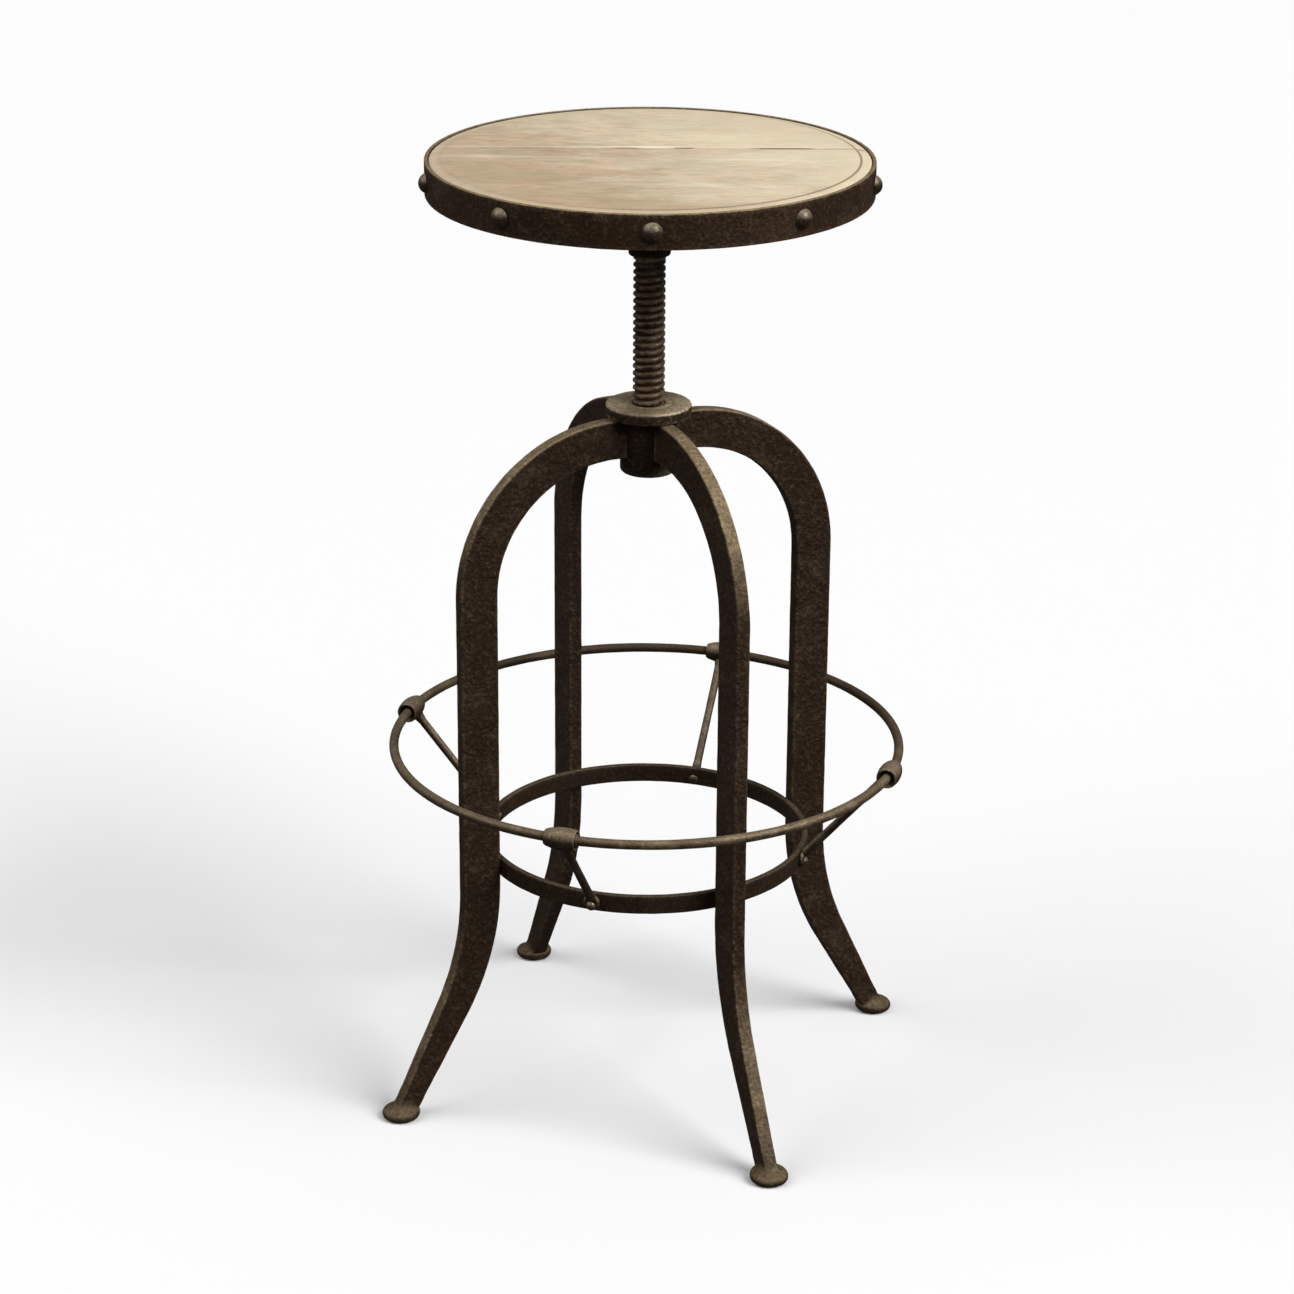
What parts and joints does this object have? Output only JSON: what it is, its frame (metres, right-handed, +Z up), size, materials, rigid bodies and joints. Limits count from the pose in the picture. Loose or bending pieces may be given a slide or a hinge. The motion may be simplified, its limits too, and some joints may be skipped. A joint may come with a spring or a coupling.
{
  "type": "adjustable swivel stool",
  "caption": "Tall screw-lift stool: round wooden seat in a riveted iron band on a threaded post, arched iron legs, flat tie hoop and round foot ring on struts.",
  "frame": {"origin": "on the floor, on the axis of the lift screw, midway between the four feet", "axes": "+Z up along the lift screw; the feet stand on the diagonals of X and Y, the struts on X and Y; -Y is taken as the front"},
  "size_m": [0.441, 0.441, 0.8],
  "materials": {
    "seat_wood": "dry, lightly waxed hardwood with a straight grain and worn edges",
    "dark_iron": "dark brown hammered iron, pitted, rubbed lighter on the edges",
    "screw_steel": "dark oiled thread with brighter crests",
    "worn_rod": "brown iron worn lighter by shoes",
    "plain_steel": "dull dark steel"
  },
  "bodies": {
    "base": {"hub": "dark_iron", "leg_front_right": "dark_iron", "leg_back_right": "dark_iron", "leg_back_left": "dark_iron", "leg_front_left": "dark_iron", "hoop": "dark_iron", "foot_ring": "worn_rod", "ring_ferrule": "worn_rod", "strut_front": "worn_rod", "strut_right": "worn_rod", "strut_back": "worn_rod", "strut_left": "worn_rod", "strut_rivets": "plain_steel"},
    "lift_washer": {"stop_washer": "plain_steel"},
    "seat_and_screw": {"seat_board_front": "seat_wood", "seat_board_back": "seat_wood", "seat_band": "dark_iron", "band_rivets": "dark_iron", "seat_bracket": "dark_iron", "bracket_screws": "plain_steel", "bracket_pin": "plain_steel", "lift_screw": "screw_steel", "stop_bolt": "plain_steel"}
  },
  "joints": [
    {"name": "seat_height", "type": "slide", "parent": "base", "child": "lift_washer", "axis": [0, 0, 1], "range_m": [-0.1141, 0.0091]},
    {"name": "seat_turn", "type": "hinge", "parent": "lift_washer", "child": "seat_and_screw", "pos_m": [0, 0, 0.552], "axis": [0, 0, 1], "range_deg": [-6840, 540]}
  ],
  "couplings": [
    {"joint": "seat_height", "follows": "seat_turn", "m_per_rad": 0.00095493}
  ]
}
